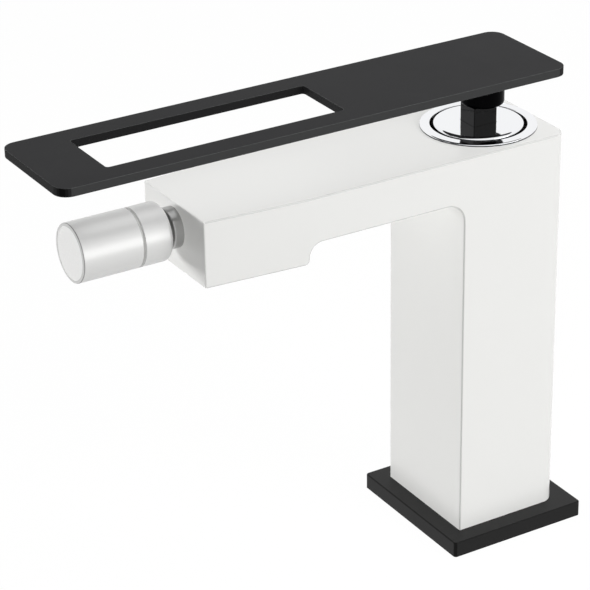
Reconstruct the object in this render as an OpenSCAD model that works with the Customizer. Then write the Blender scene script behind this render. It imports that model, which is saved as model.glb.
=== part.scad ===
// Deck-mounted bidet mixer: square column, flat spout arm, slotted lever, swivel aerator.
// Units are millimetres. The origin is the centre of the base underside,
// +Z is up and the spout points towards -Y.

/* [Base] */
// Width of the foot plate along X
base_w = 61; // [56:0.5:72]
// Depth of the foot plate along Y
base_d = 57; // [52:0.5:68]
// Thickness of the foot plate
base_t = 6; // [5:0.5:9]
// Radius of the foot plate's upright corners
base_corner_r = 1.2; // [0.6:0.1:3]
// Diameter of the passage for hoses and fixing stud
passage_d = 34; // [32:0.5:36]
// Thickness of the flat seal under the foot plate
gasket_t = 1.5; // [1:0.1:2.5]
// Width of the rim around the flat seal
gasket_rim = 2; // [1.5:0.1:3]
// Height of the locating collar on the foot plate
collar_h = 2.5; // [1.5:0.1:4]
// Wall of the locating collar
collar_wall = 1.8; // [1.2:0.1:2.2]

/* [Column] */
// Width of the column along X
column_w = 47.2; // [46:0.2:54]
// Depth of the column along Y
column_d = 43.6; // [43:0.2:50]
// Height of the body's top face above the base underside
body_h = 155; // [140:1:185]
// Radius of the two rear upright edges
rear_corner_r = 5.5; // [2:0.5:8]
// Radius of the two front upright edges
front_corner_r = 0.9; // [0.5:0.1:2]
// Radius of the long and cross edges of the body
edge_r = 0.8; // [0.4:0.1:1.5]
// Depth of the hollow under the column that takes the hose ends
hose_well_h = 50; // [20:1:60]

/* [Spout arm] */
// Distance from the column axis to the face of the arm tip
reach = 123.4; // [105:0.5:150]
// Thickness of the arm between column and tip block
arm_t = 16.6; // [16:0.2:22]
// Height of the thicker tip block
tip_t = 24; // [23.5:0.5:30]
// Length of the tip block
tip_len = 38.8; // [30:0.5:48]
// Width of the tip block at its face
tip_w = 41.3; // [36:0.5:46]
// Radius of the hollow corner where the arm meets the column
arm_fillet_r = 7.2; // [4:0.2:9]
// Radius of the hollow corner behind the tip block
step_fillet_r = 5; // [2:0.1:5.2]
// Radius of the lower rear edge of the tip block
step_edge_r = 2; // [0.8:0.1:2.1]

/* [Waterways] */
// Distance of the spout axis below the top face
outlet_drop = 9.2; // [8.8:0.1:10]
// Bore of the water channel in the arm
arm_bore_d = 8.5; // [6:0.5:9]
// Bore of the drilled and cast channels in the column
channel_d = 6.5; // [5:0.5:7]
// Centre of the corner channel from the column's faces
corner_inset = 6.2; // [6:0.1:6.8]
// Distance of the inlet channels from the centre along X
inlet_x = 6.8; // [6.6:0.1:7.2]
// Distance of the inlet channels in front of the centre
inlet_y = 3.2; // [2.8:0.1:3.6]
// Distance of the outlet port behind the centre
outlet_y = 7; // [6.6:0.1:7.4]
// Distance of the fixing stud behind the centre
stud_y = 9; // [8.5:0.1:10]
// Core diameter of the hose threads
hose_thread_d = 9; // [8.9:0.1:10]
// Depth of the hose threads
hose_thread_h = 12; // [9:1:15]
// Core diameter of the stud thread
stud_thread_d = 6.8; // [6.6:0.1:7]
// Depth of the stud thread
stud_thread_h = 14; // [10:1:20]
// Diameter of the thread that takes the ball stem
stem_thread_d = 12; // [11:0.5:13]
// Depth of the thread that takes the ball stem
stem_thread_h = 14; // [11:0.5:18]

/* [Cartridge] */
// Depth of the chamber floor below the top face
chamber_depth = 35; // [35:0.5:42]
// Diameter of the chamber that takes the cartridge
chamber_d = 35.2; // [35:0.1:35.6]
// Wall of the retaining nut between its bore and its thread
nut_wall = 1.65; // [1.4:0.05:1.8]
// Thickness of the cartridge's lower cover
cover_t = 3; // [2.5:0.1:4]
// Height of the lower cover's spigot inside the shell
spigot_h = 2; // [1.5:0.1:3]
// Bore of the cartridge shell
shell_bore_d = 28; // [27.5:0.1:28.5]
// Thickness of the shell's shoulder under the nut
shoulder_t = 3; // [2.5:0.1:4]
// Diameter of each port
port_d = 5.6; // [5:0.1:6]
// Thickness of each port seal
port_seal_t = 1.8; // [1.5:0.1:2]
// Thickness of the rubber around each port
port_seal_wall = 1.6; // [1.2:0.1:1.8]
// Diameter of the two locating pins
dowel_d = 3.4; // [3:0.1:3.6]
// Distance of the locating pins from the centre along X
dowel_x = 9; // [8.6:0.1:9.4]
// Distance of the locating pins behind the centre
dowel_y = 9; // [8:0.1:9.4]
// Length of the two locating pins
dowel_h = 3; // [2:0.5:4]
// Thickness of the clamping flange of the nut
nut_flange_t = 1.8; // [1.5:0.1:2]
// Number of spanner slots in the nut
nut_slots = 4; // [2:1:6]
// Width of the spanner slots
nut_slot_w = 4; // [3:0.5:5]
// Depth of the spanner slots
nut_slot_h = 2; // [1:0.5:3]

/* [Ceramic discs] */
// Thickness of the fixed disc
fixed_disc_t = 3.5; // [3:0.1:4]
// Thickness of the moving disc
moving_disc_t = 4; // [3.5:0.1:4.5]
// Diameter of the moving disc
moving_disc_d = 21; // [20:0.5:22]
// Film gap between the lapped faces
lap_gap = 0.1; // [0.05:0.01:0.2]
// Radius of the ring on which the disc ports lie
port_ring_r = 6.2; // [6:0.1:6.4]
// Width of the ports in the fixed disc
port_w = 3.2; // [2.8:0.1:3.4]
// Angle of the inlet ports from the front of the fixed disc
inlet_angle = 45; // [42:1:48]
// Half the distance between the round ends of each port
port_half_len = 2.6; // [2:0.1:2.8]
// Depth of the mixing pocket in the moving disc
pocket_h = 2; // [1:0.1:2.5]
// Diameter of the pocket's front lobe, which opens the inlets
pocket_front_d = 7.2; // [6:0.1:7.4]
// Diameter of the pocket's rear lobe, which stays over the outlet
pocket_rear_d = 8.8; // [8:0.1:9]
// Distance of the rear lobe behind the axis when the lever is down
pocket_rear_y = 6.2; // [5.8:0.1:6.4]

/* [Carrier and rotor] */
// Thickness of the carrier's plate
carrier_t = 2.8; // [2.5:0.1:3.5]
// Side of the carrier's square boss
carrier_boss = 11.6; // [11:0.1:12]
// Thickness of the rotor's flange
rotor_flange_t = 3.8; // [3.5:0.1:4.5]
// Diameter of the rotor's neck
rotor_neck_d = 17; // [16.6:0.1:17.4]
// Height of the rotor's neck above the pivot
rotor_rise = 1.9; // [1.8:0.05:2]
// Diameter of the pivot pin
pivot_pin_d = 2.4; // [2:0.1:2.6]

/* [Spindle] */
// Side of the square stem
stem_side = 7; // [6.6:0.1:7.2]
// Diameter of the ball finger
finger_d = 5; // [4.6:0.1:5.2]
// Diameter of the waist above the finger
waist_d = 3.6; // [3.2:0.1:3.8]
// Depth of the pivot below the cover disc's top
pivot_depth = 6.6; // [6.4:0.1:6.8]
// Largest lift angle of the lever
lift_max = 20; // [16:1:20]
// Width of the square sleeve along X
sleeve_w = 8.8; // [8.6:0.1:9.6]
// Depth of the square sleeve along Y
sleeve_d = 9.7; // [9:0.1:10]

/* [Cover disc and trim ring] */
// Diameter of the cover disc
disc_d = 31.3; // [30.5:0.1:31.6]
// Thickness of the cover disc's top
disc_t = 1.5; // [1.2:0.1:1.6]
// Wall of the cover disc's skirt
disc_wall = 1.2; // [1:0.1:1.4]
// Height of the cover disc's skirt
disc_skirt_h = 5.3; // [4.5:0.1:5.4]
// Height of the cover disc above the body's top face
disc_rise = 1; // [0.8:0.1:1.4]
// Clearance around the cover disc that lets it tilt inside the trim ring
disc_gap = 1.7; // [1.6:0.1:2]
// Width of the trim ring's flange outside its spigot
ring_lip = 1.3; // [1:0.1:1.6]
// Thickness of the trim ring's flange
ring_t = 0.75; // [0.6:0.05:1]
// Wall of the trim ring's spigot
ring_wall = 2.35; // [2.2:0.05:2.4]
// Depth of the trim ring's spigot
ring_spigot_h = 2.5; // [2:0.1:2.8]

/* [Lever] */
// Width of the lever plate
lever_w = 44.4; // [40:0.2:50]
// Thickness of the lever plate
lever_t = 3; // [2.6:0.1:4]
// Distance from the column axis to the lever's front end
lever_front = 174.8; // [150:0.5:200]
// Distance from the column axis to the lever's rear end
lever_rear = 22.6; // [18:0.1:26]
// Radius of the lever's corners
lever_corner_r = 5; // [1:0.5:6]
// Radius of the lever's long edges
lever_edge_r = 0.4; // [0.2:0.1:1]
// Width of the slot in the lever
slot_w = 26.6; // [20:0.2:30]
// Distance from the lever's front end to the slot
slot_margin = 21; // [16:0.5:28]
// Length of the slot
slot_len = 89.6; // [70:0.5:100]
// Radius of the slot's corners
slot_corner_r = 1.2; // [0.6:0.1:4]
// Diameter of the boss under the lever
boss_d = 15.7; // [15.4:0.1:18]
// Height of the boss under the lever
boss_h = 13.1; // [12.5:0.1:15]
// Offset of the boss to the rear of the spindle
boss_offset = 1.5; // [1:0.1:1.6]
// Radius of the boss's lower edge
boss_edge_r = 1.3; // [0.6:0.1:2]
// Free height of the square sleeve between cover disc and boss
sleeve_free = 7.1; // [7:0.1:9]
// Diameter of the tenon that joins boss and plate
tenon_d = 9; // [7:0.5:10]
// Height of the tenon
tenon_h = 1.8; // [1.2:0.1:2]
// Diameter of the set screw
grub_d = 4; // [3:0.5:5]

/* [Ball stem] */
// Diameter of the stem's flange
flange_d = 14.4; // [14:0.1:15.5]
// Thickness of the stem's flange
flange_t = 3.2; // [2.6:0.1:3.2]
// Radius of the flange's rims
flange_rim_r = 1.4; // [0.5:0.1:1.5]
// Diameter of the stem's neck
neck_d = 7.4; // [7:0.1:7.6]
// Diameter of the ball
ball_d = 14; // [13.8:0.1:14.2]
// Distance from the arm's face to the ball centre
ball_out = 12.6; // [12.6:0.1:14]
// Bore through the stem
stem_bore_d = 5.2; // [4:0.1:5.4]
// Largest tilt of the aerator
swivel_max = 15; // [10:1:15]

/* [Aerator] */
// Outer diameter of the aerator
aerator_d = 20.6; // [20.4:0.1:22]
// Distance from the arm's face to the rear of the swivel collar
socket_gap = 6.4; // [6.2:0.1:6.6]
// Length of the swivel collar
socket_len = 9.6; // [9:0.1:11]
// Radius of the collar's rear edge
socket_edge_r = 1.6; // [0.8:0.1:2]
// Width of the groove between collar and sleeve
groove_w = 0.6; // [0.4:0.1:1]
// Length of the aerator's sleeve
sleeve_len = 22.3; // [20:0.1:26]
// Wall of the sleeve at the insert
sleeve_wall = 1.1; // [0.9:0.1:1.3]
// Chamfer of the sleeve's front edge
mouth_chamfer = 0.4; // [0.2:0.1:0.6]
// Length of the stream insert
cage_len = 9.5; // [8:0.5:11]
// Diameter of the holes in the outlet face
grid_hole_d = 0.9; // [0.6:0.1:1.2]
// Rings of holes around the central hole
grid_rings = 4; // [1:1:4]

/* [Fits] */
// Radial clearance of a running fit
run_fit = 0.08; // [0.05:0.01:0.1]
// Radial clearance of pieces that only seat together
seat_gap = 0.1; // [0.05:0.01:0.2]
// Gap that keeps moving faces apart
free_gap = 0.3; // [0.25:0.05:0.4]

/* [Hidden] */
$fn = 48;

// Small overlap that makes cuts run clear of a face
cut = 1;
// Length that is longer than any piece here
long = 400;

// Hose well and foot plate
well_d = passage_d + 2 * collar_wall + 2 * seat_gap;
well_top_z = base_t + hose_well_h;

// Arm and tip block
tip_start = reach - tip_len;
arm_under_z = body_h - arm_t;
tip_under_z = body_h - tip_t;
tip_taper = atan((column_w - tip_w) / 2 / tip_len);
outlet_z = body_h - outlet_drop;

// Corner channel that carries mixed water from the chamber floor to the arm
gallery_wall = 2;
riser_x = column_w / 2 - corner_inset;
riser_y = column_d / 2 - corner_inset;
chamber_floor_z = body_h - chamber_depth;
gallery_z = chamber_floor_z - dowel_h - channel_d / 2 - gallery_wall;
duct_step = 0.5;
duct_d = channel_d - duct_step;
cross_lead = 12;
cross_y = column_d / 2 + cross_lead;

// Trim ring and retaining nut, from the cover disc outwards
ring_bore_d = disc_d + 2 * disc_gap;
ring_spigot_d = ring_bore_d + 2 * ring_wall;
ring_d = ring_spigot_d + 2 * ring_lip;
nut_thread_d = ring_bore_d + 2 * nut_wall;

// Stack of the cartridge, from the chamber floor upwards
fixed_disc_z = chamber_floor_z + cover_t + spigot_h;
moving_disc_z = fixed_disc_z + fixed_disc_t + lap_gap;
carrier_z = moving_disc_z + moving_disc_t;
rotor_z = carrier_z + carrier_t + free_gap + seat_gap;
shoulder_z = rotor_z + rotor_flange_t + free_gap;
nut_z = shoulder_z + shoulder_t;
ring_seat_z = body_h - ring_spigot_h - seat_gap;
ring_nut_gap = 0.5;
nut_top_z = ring_seat_z - ring_nut_gap;
nut_neck_gap = 2.5;
housing_d = chamber_d - 2 * free_gap;
rotor_flange_d = shell_bore_d - 2 * (free_gap + seat_gap);

// Pivot and spindle
disc_top_z = body_h + disc_rise;
pivot_z = disc_top_z - pivot_depth;
rotor_top_z = pivot_z + rotor_rise;
finger_z = rotor_z + rotor_flange_t / 2 + free_gap;
finger_len = pivot_z - finger_z;
finger_travel = finger_len * sin(lift_max);
disc_rest_y = finger_travel / 2;
coupling_slack = 0.05;
socket_play = run_fit + coupling_slack;
carrier_top_z = rotor_z + rotor_flange_t - free_gap;
stem_foot_drop = 4.4;
stem_foot_z = pivot_z - stem_foot_drop;
disc_under_z = disc_top_z - disc_t;
sleeve_foot_t = 0.6;
sleeve_lip_x = 0.6;
sleeve_lip_y = 0.4;
spindle_foot_t = 0.6;
spindle_lip = 0.5;
spindle_foot_z = disc_under_z - sleeve_foot_t - spindle_foot_t;
boss_z = disc_top_z + sleeve_free;
lever_z = boss_z + boss_h;
socket_roof = 3.6;
socket_h = boss_h - socket_roof;
spindle_top_z = boss_z + socket_h - free_gap;
grub_z = boss_z + socket_h / 2;
grub_inset = 0.9;

// Lever plate
lever_len = lever_front + lever_rear;
lever_mid_y = (lever_rear - lever_front) / 2;
slot_mid_y = -lever_front + slot_margin + slot_len / 2;

// Aerator, measured outwards from the face of the arm
ball_r = ball_d / 2;
seat_r = ball_r + run_fit;
socket_front = socket_gap + socket_len;
sleeve_start = socket_front + groove_w;
sleeve_end = sleeve_start + sleeve_len;
thread_wall = 1.1;
thread_r = aerator_d / 2 - thread_wall;
insert_r = aerator_d / 2 - sleeve_wall;
seat_ring_r = thread_r - thread_wall;
spigot_lead = 0.6;
spigot_start = ball_out + spigot_lead;
ball_cut = 5.6;
seat_ring_rest = 1.8;
seat_ring_end = ball_out + ball_cut + seat_ring_rest;
seat_ring_bore_r = 5.4;
throat_len = 1.6;
throat_r = 6.4;
washer_start = seat_ring_end + throat_len;
washer_t = 1.6;
washer_bore_r = 6;
cage_start = washer_start + washer_t;
cage_end = cage_start + cage_len;
cage_wall = 1.2;
cage_floor_t = 1.6;
jet_count = 10;
jet_ring_r = 4.2;
jet_d = 1.2;
grid_t = 1.6;
grid_inset = 0.15;
grid_rim = 1.8;
ball_ring_out = 2.5;
ball_ring_r = 5.8;
ball_ring_section = 0.7;
ball_lip = 4;
swivel_spare = 4;
stem_seal_t = 1;
stem_seal_w = 0.8;
stem_seal_r = stem_thread_d / 2 + stem_seal_w;

// Rectangle with rounded corners, centred
module rounded_rect(w, d, r) {
    square([w - 2 * r, d], center = true);
    square([w, d - 2 * r], center = true);
    for (sx = [-1, 1])
        for (sy = [-1, 1])
            translate([sx * (w / 2 - r), sy * (d / 2 - r)])
                circle(r);
}

// Bar along Y with rounded long edges, from y0 to y1 and from z0 to z1
module long_bar(w, z0, z1, y0, y1, r) {
    translate([0, y1, (z0 + z1) / 2])
        rotate([90, 0, 0])
            linear_extrude(height = y1 - y0)
                rounded_rect(w, z1 - z0, r);
}

// Slab across X whose outline is drawn in Y and Z
module cross_slab(w) {
    translate([-w / 2, 0, 0])
        rotate([90, 0, 90])
            linear_extrude(height = w)
                children();
}

// Upright round piece or bore of diameter d at (x, y), from z0 to z1
module upright(x, y, d, z0, z1) {
    translate([x, y, z0])
        cylinder(d = d, h = z1 - z0);
}

// Frame on the spout axis: local +Z points out of the arm's face
module on_spout() {
    translate([0, -reach, outlet_z])
        rotate([90, 0, 0])
            children();
}

// Turned disc with a rounded upper rim
module rimmed_disc(r, h, rim) {
    rotate_extrude() {
        square([r - rim, h]);
        square([r, h - rim]);
        translate([r - rim, h - rim])
            circle(rim);
    }
}

// Plan outline of the column: sharper front edges, rounder rear edges
module column_outline() {
    intersection() {
        rounded_rect(column_w, column_d, rear_corner_r);
        translate([-column_w / 2, 0])
            square([column_w, column_d / 2]);
    }
    intersection() {
        rounded_rect(column_w, column_d, front_corner_r);
        translate([-column_w / 2, -column_d / 2])
            square([column_w, column_d / 2]);
    }
}

// Column with its rounded top edges
module column_blank() {
    intersection() {
        translate([0, 0, base_t])
            linear_extrude(height = body_h - base_t)
                column_outline();
        long_bar(column_w, 0, body_h, -column_d, column_d, edge_r);
        cross_slab(column_w)
            translate([0, body_h / 2])
                rounded_rect(column_d, body_h, edge_r);
    }
}

// One tapering side wall of the arm's tip, with rounded upper and lower edges
module tip_side(side) {
    translate([side * column_w / 2, -tip_start, 0])
        rotate([0, 0, -side * tip_taper])
            translate([-side * column_w, 0, 0])
                long_bar(2 * column_w, tip_under_z, body_h, -2 * tip_len, 2 * reach, edge_r);
}

// Hollow corner under the arm against a wall at y, on the side of the wall that dy names
module hollow_corner(y, r, dy) {
    difference() {
        translate([dy > 0 ? y : y - r, arm_under_z - r])
            square([r, r + cut]);
        translate([y + dy * r, arm_under_z - r])
            circle(r);
    }
}

// Side outline of the arm with its thicker tip, in Y and Z
module arm_profile() {
    mid_y = -(reach + tip_start) / 2;
    edge_y = -tip_start - step_edge_r;
    difference() {
        union() {
            translate([mid_y, (body_h + tip_under_z) / 2])
                rounded_rect(tip_len, tip_t, edge_r);
            translate([mid_y, arm_under_z])
                square([-mid_y, arm_t]);
        }
        difference() {
            translate([edge_y, tip_under_z - cut])
                square([step_edge_r + cut, step_edge_r + cut]);
            translate([edge_y, tip_under_z + step_edge_r])
                circle(step_edge_r);
        }
    }
    hollow_corner(-tip_start, step_fillet_r, 1);
    hollow_corner(-column_d / 2, arm_fillet_r, -1);
}

// Plan outline that rounds the two upright edges of the arm's face
module tip_outline() {
    r = front_corner_r;
    mid_x = tip_w / 2 + r * tan(tip_taper) - r / cos(tip_taper);
    edge_x = mid_x + r * cos(tip_taper);
    edge_y = r * (1 - sin(tip_taper)) - reach;
    polygon([
        [-column_w, 0],
        [-column_w, edge_y],
        [-edge_x, edge_y],
        [-mid_x, -reach],
        [mid_x, -reach],
        [edge_x, edge_y],
        [column_w, edge_y],
        [column_w, 0]
    ]);
    for (s = [-1, 1])
        translate([s * mid_x, r - reach])
            circle(r);
}

// Arm that ends in the thicker, tapering tip
module spout_arm() {
    intersection() {
        long_bar(column_w, tip_under_z - arm_fillet_r, body_h, -reach, 0, edge_r);
        tip_side(1);
        tip_side(-1);
        cross_slab(column_w)
            arm_profile();
        translate([0, 0, tip_under_z - cut])
            linear_extrude(height = tip_t + 2 * cut)
                tip_outline();
    }
}

// Outer shape of the cast body
module body_blank() {
    column_blank();
    spout_arm();
}

// Lying channel of diameter d from the point p over length len in the direction a in plan
module duct(p, d, len, a) {
    translate(p)
        rotate([0, 90, a])
            cylinder(d = d, h = len);
}

// Water channels from the chamber's outlet port to the ball stem
module outlet_channels() {
    upright(0, outlet_y, channel_d, gallery_z - channel_d / 2, chamber_floor_z + cut);
    duct([0, outlet_y, gallery_z], duct_d, riser_x + channel_d / 2, 0);
    duct([riser_x, outlet_y + channel_d / 2, gallery_z], channel_d,
        outlet_y + channel_d / 2 + riser_y, -90);
    upright(riser_x, -riser_y, duct_d, gallery_z - channel_d / 2, outlet_z + channel_d / 2);
    duct([riser_x, -riser_y, outlet_z], channel_d, cross_y - riser_y, -90);
    duct([0, -cross_y, outlet_z], duct_d, riser_x + channel_d / 2, 0);
    duct([0, -cross_y + arm_bore_d / 2, outlet_z], arm_bore_d,
        reach - stem_thread_h + cut - cross_y + arm_bore_d / 2, -90);
}

// Chamber, thread and seat for the cartridge, nut and ring
module cartridge_seat() {
    upright(0, 0, chamber_d, chamber_floor_z, body_h + cut);
    upright(0, 0, nut_thread_d, nut_z - nut_flange_t, body_h + cut);
    upright(0, 0, ring_spigot_d + 2 * seat_gap, ring_seat_z, body_h + cut);
    for (s = [-1, 1])
        upright(s * dowel_x, dowel_y, dowel_d + 2 * seat_gap,
            chamber_floor_z - dowel_h - seat_gap, chamber_floor_z + cut);
}

// Hose well under the column with its threads and the inlet channels
module hose_side() {
    upright(0, 0, well_d, base_t - cut, well_top_z);
    for (s = [-1, 1]) {
        upright(s * inlet_x, -inlet_y, hose_thread_d, well_top_z - cut, well_top_z + hose_thread_h);
        upright(s * inlet_x, -inlet_y, channel_d, well_top_z, chamber_floor_z + cut);
    }
    upright(0, stud_y, stud_thread_d, well_top_z - cut, well_top_z + stud_thread_h);
}

// Cast body: column, arm and tip block in one piece
module body() {
    color([0.94, 0.94, 0.93])
        difference() {
            body_blank();
            cartridge_seat();
            outlet_channels();
            hose_side();
            on_spout()
                translate([0, 0, -stem_thread_h])
                    cylinder(d = stem_thread_d, h = stem_thread_h + cut);
        }
}

// Foot plate with a locating collar and a recess for the flat seal
module base_plate() {
    color([0.16, 0.16, 0.16])
        difference() {
            union() {
                linear_extrude(height = base_t)
                    rounded_rect(base_w, base_d, base_corner_r);
                upright(0, 0, passage_d + 2 * collar_wall, base_t - cut, base_t + collar_h);
            }
            upright(0, 0, passage_d, -cut, base_t + collar_h + cut);
            difference() {
                translate([0, 0, -cut])
                    linear_extrude(height = gasket_t + cut)
                        rounded_rect(base_w - 2 * gasket_rim, base_d - 2 * gasket_rim, base_corner_r);
                upright(0, 0, passage_d + 2 * gasket_rim, -2 * cut, gasket_t + cut);
            }
        }
}

// Flat seal between foot plate and ceramic
module base_gasket() {
    color([0.08, 0.08, 0.08])
        difference() {
            linear_extrude(height = gasket_t)
                rounded_rect(base_w - 2 * (gasket_rim + seat_gap),
                    base_d - 2 * (gasket_rim + seat_gap), base_corner_r);
            upright(0, 0, passage_d + 2 * (gasket_rim + seat_gap), -cut, gasket_t + cut);
        }
}

// Places of the three ports: two inlets and the outlet
module at_ports() {
    for (p = [[-inlet_x, -inlet_y], [inlet_x, -inlet_y], [0, outlet_y]])
        translate([p[0], p[1], 0])
            children();
}

// Lower cover of the cartridge with ports, seal grooves and locating pins
module cartridge_base() {
    color([0.85, 0.85, 0.83])
        translate([0, 0, chamber_floor_z])
            difference() {
                union() {
                    cylinder(d = housing_d, h = cover_t);
                    cylinder(d = shell_bore_d - 2 * seat_gap, h = cover_t + spigot_h);
                    for (s = [-1, 1])
                        upright(s * dowel_x, dowel_y, dowel_d, -dowel_h, cut);
                }
                at_ports() {
                    upright(0, 0, port_d, -cut, cover_t + spigot_h + cut);
                    upright(0, 0, port_d + 2 * port_seal_wall, -cut, port_seal_t);
                }
            }
}

// Three rubber rings between the ports and the chamber floor
module port_seals() {
    color([0.1, 0.1, 0.1])
        translate([0, 0, chamber_floor_z])
            at_ports()
                difference() {
                    cylinder(d = port_d + 2 * (port_seal_wall - seat_gap), h = port_seal_t);
                    upright(0, 0, port_d, -cut, port_seal_t + cut);
                }
}

// Shell of the cartridge with the shoulder that the nut clamps
module cartridge_housing() {
    color([0.9, 0.9, 0.88])
        difference() {
            upright(0, 0, housing_d, chamber_floor_z + cover_t, nut_z);
            upright(0, 0, shell_bore_d, chamber_floor_z + cover_t - cut, shoulder_z);
            upright(0, 0, rotor_neck_d + 2 * run_fit, shoulder_z - cut, nut_z + cut);
        }
}

// Port with round ends across the ring of ports, at +X, in plan
module ring_port() {
    translate([port_ring_r, 0]) {
        square([port_w, 2 * port_half_len], center = true);
        for (s = [-1, 1])
            translate([0, s * port_half_len])
                circle(port_w / 2);
    }
}

// Fixed ceramic disc with two inlet ports in front and the outlet port behind
module fixed_disc() {
    color([0.97, 0.96, 0.92])
        translate([0, 0, fixed_disc_z])
            difference() {
                cylinder(d = shell_bore_d - 2 * seat_gap, h = fixed_disc_t);
                for (a = [-90 - inlet_angle, -90 + inlet_angle, 90])
                    rotate(a)
                        translate([0, 0, -cut])
                            linear_extrude(height = fixed_disc_t + 2 * cut)
                                ring_port();
            }
}

// Moving ceramic disc: its blind pocket reaches the inlets when the disc slides forward
module moving_disc() {
    color([0.95, 0.94, 0.9])
        difference() {
            upright(0, disc_rest_y, moving_disc_d, moving_disc_z, moving_disc_z + moving_disc_t);
            upright(0, 0, pocket_front_d, moving_disc_z - cut, moving_disc_z + pocket_h);
            upright(0, pocket_rear_y, pocket_rear_d, moving_disc_z - cut, moving_disc_z + pocket_h);
        }
}

// Carrier glued to the moving disc, with the socket for the ball finger
module disc_carrier() {
    color([0.25, 0.3, 0.34])
        difference() {
            union() {
                translate([0, disc_rest_y, carrier_z])
                    cylinder(d = moving_disc_d, h = carrier_t);
                translate([0, 0, (carrier_z + carrier_top_z) / 2])
                    cube([carrier_boss, carrier_boss, carrier_top_z - carrier_z], center = true);
            }
            translate([0, 0, finger_z - finger_d / 2 - free_gap])
                linear_extrude(height = long)
                    square(finger_d + 2 * socket_play, center = true);
        }
}

// Side outline of the slot in which the spindle swings, in Y and Z
module swing_outline() {
    half = stem_side / 2;
    rest = half + free_gap;
    swung = half / cos(lift_max) + free_gap;
    lean = tan(lift_max);
    front = finger_travel + finger_d / 2 + free_gap;
    polygon([
        [-rest, rotor_top_z + cut],
        [-swung, pivot_z],
        [-swung - lean * (pivot_z - stem_foot_z), stem_foot_z],
        [-front, finger_z + finger_d / 2 + finger_len * (1 - cos(lift_max))],
        [-front, rotor_z - cut],
        [rest, rotor_z - cut],
        [rest, pivot_z - half / 2],
        [swung, pivot_z],
        [swung + lean * (rotor_rise + cut), rotor_top_z + cut]
    ]);
}

// Rotor: turns with the lever in the shell, holds the pivot pin, guides the carrier
module spindle_guide() {
    color([0.78, 0.8, 0.8])
        difference() {
            union() {
                upright(0, 0, rotor_flange_d, rotor_z, rotor_z + rotor_flange_t);
                upright(0, 0, rotor_neck_d, rotor_z, rotor_top_z);
            }
            cross_slab(stem_side + 2 * free_gap)
                swing_outline();
            translate([0, -finger_travel / 2, rotor_z - cut])
                linear_extrude(height = rotor_flange_t + cut)
                    square([carrier_boss + 2 * run_fit, carrier_boss + finger_travel + 2 * free_gap],
                        center = true);
            translate([0, 0, pivot_z])
                rotate([0, 90, 0])
                    cylinder(d = pivot_pin_d, h = rotor_neck_d + 2 * cut, center = true);
        }
}

// Steel pivot pin pressed into the rotor
module spindle_pin() {
    color([0.7, 0.7, 0.72])
        translate([0, 0, pivot_z])
            rotate([0, 90, 0])
                cylinder(d = pivot_pin_d, h = rotor_neck_d - 2 * free_gap, center = true);
}

// Square spindle with pivot eye, waist and ball finger
module spindle() {
    cone_h = (stem_side - waist_d) / 2;
    color([0.72, 0.62, 0.4])
        difference() {
            union() {
                translate([0, 0, finger_z])
                    sphere(d = finger_d);
                upright(0, 0, waist_d, finger_z, stem_foot_z);
                translate([0, 0, stem_foot_z - cone_h])
                    cylinder(d1 = waist_d, d2 = stem_side, h = cone_h);
                translate([0, 0, stem_foot_z])
                    linear_extrude(height = spindle_top_z - stem_foot_z)
                        square(stem_side, center = true);
                translate([0, 0, spindle_foot_z])
                    linear_extrude(height = spindle_foot_t)
                        square(stem_side + 2 * spindle_lip, center = true);
            }
            translate([0, 0, pivot_z])
                rotate([0, 90, 0])
                    cylinder(d = pivot_pin_d + 2 * run_fit, h = 2 * stem_side, center = true);
        }
}

// Square sleeve over the spindle: carries the cover disc and the boss
module spindle_sleeve() {
    color([0.12, 0.12, 0.13])
        difference() {
            union() {
                translate([0, 0, disc_under_z])
                    linear_extrude(height = boss_z - disc_under_z)
                        square([sleeve_w, sleeve_d], center = true);
                translate([0, 0, disc_under_z - sleeve_foot_t])
                    linear_extrude(height = sleeve_foot_t)
                        square([sleeve_w + 2 * sleeve_lip_x, sleeve_d + 2 * sleeve_lip_y],
                            center = true);
            }
            translate([0, 0, disc_under_z - sleeve_foot_t - cut])
                linear_extrude(height = long)
                    square(stem_side + 2 * seat_gap, center = true);
        }
}

// Cover disc with a short skirt that tilts inside the trim ring
module cover_disc() {
    rim = 0.4;
    color([0.86, 0.87, 0.88])
        difference() {
            translate([0, 0, disc_top_z - disc_skirt_h])
                rimmed_disc(disc_d / 2, disc_skirt_h, rim);
            upright(0, 0, disc_d - 2 * disc_wall, disc_top_z - disc_skirt_h - cut, disc_under_z);
            translate([0, 0, disc_under_z - cut])
                linear_extrude(height = disc_t + 2 * cut)
                    square([sleeve_w + 2 * seat_gap, sleeve_d + 2 * seat_gap], center = true);
        }
}

// Slotted nut that clamps the cartridge
module retaining_nut() {
    color([0.74, 0.62, 0.36])
        difference() {
            upright(0, 0, nut_thread_d - 2 * seat_gap, nut_z, nut_top_z);
            upright(0, 0, ring_bore_d, nut_z + nut_flange_t, nut_top_z + cut);
            upright(0, 0, rotor_neck_d + 2 * nut_neck_gap, nut_z - cut, nut_z + nut_flange_t + cut);
            for (i = [0 : nut_slots - 1])
                rotate([0, 0, i * 360 / nut_slots])
                    translate([nut_thread_d / 2, 0, nut_top_z])
                        cube([nut_thread_d - ring_bore_d + 2 * cut, nut_slot_w, 2 * nut_slot_h],
                            center = true);
        }
}

// Bright ring that covers the edge of the chamber
module trim_ring() {
    color([0.86, 0.87, 0.88])
        difference() {
            union() {
                translate([0, 0, body_h])
                    rimmed_disc(ring_d / 2, ring_t, ring_t / 2);
                upright(0, 0, ring_spigot_d, body_h - ring_spigot_h, body_h + ring_t / 2);
            }
            upright(0, 0, ring_bore_d, body_h - ring_spigot_h - cut, body_h + ring_t + cut);
        }
}

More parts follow.
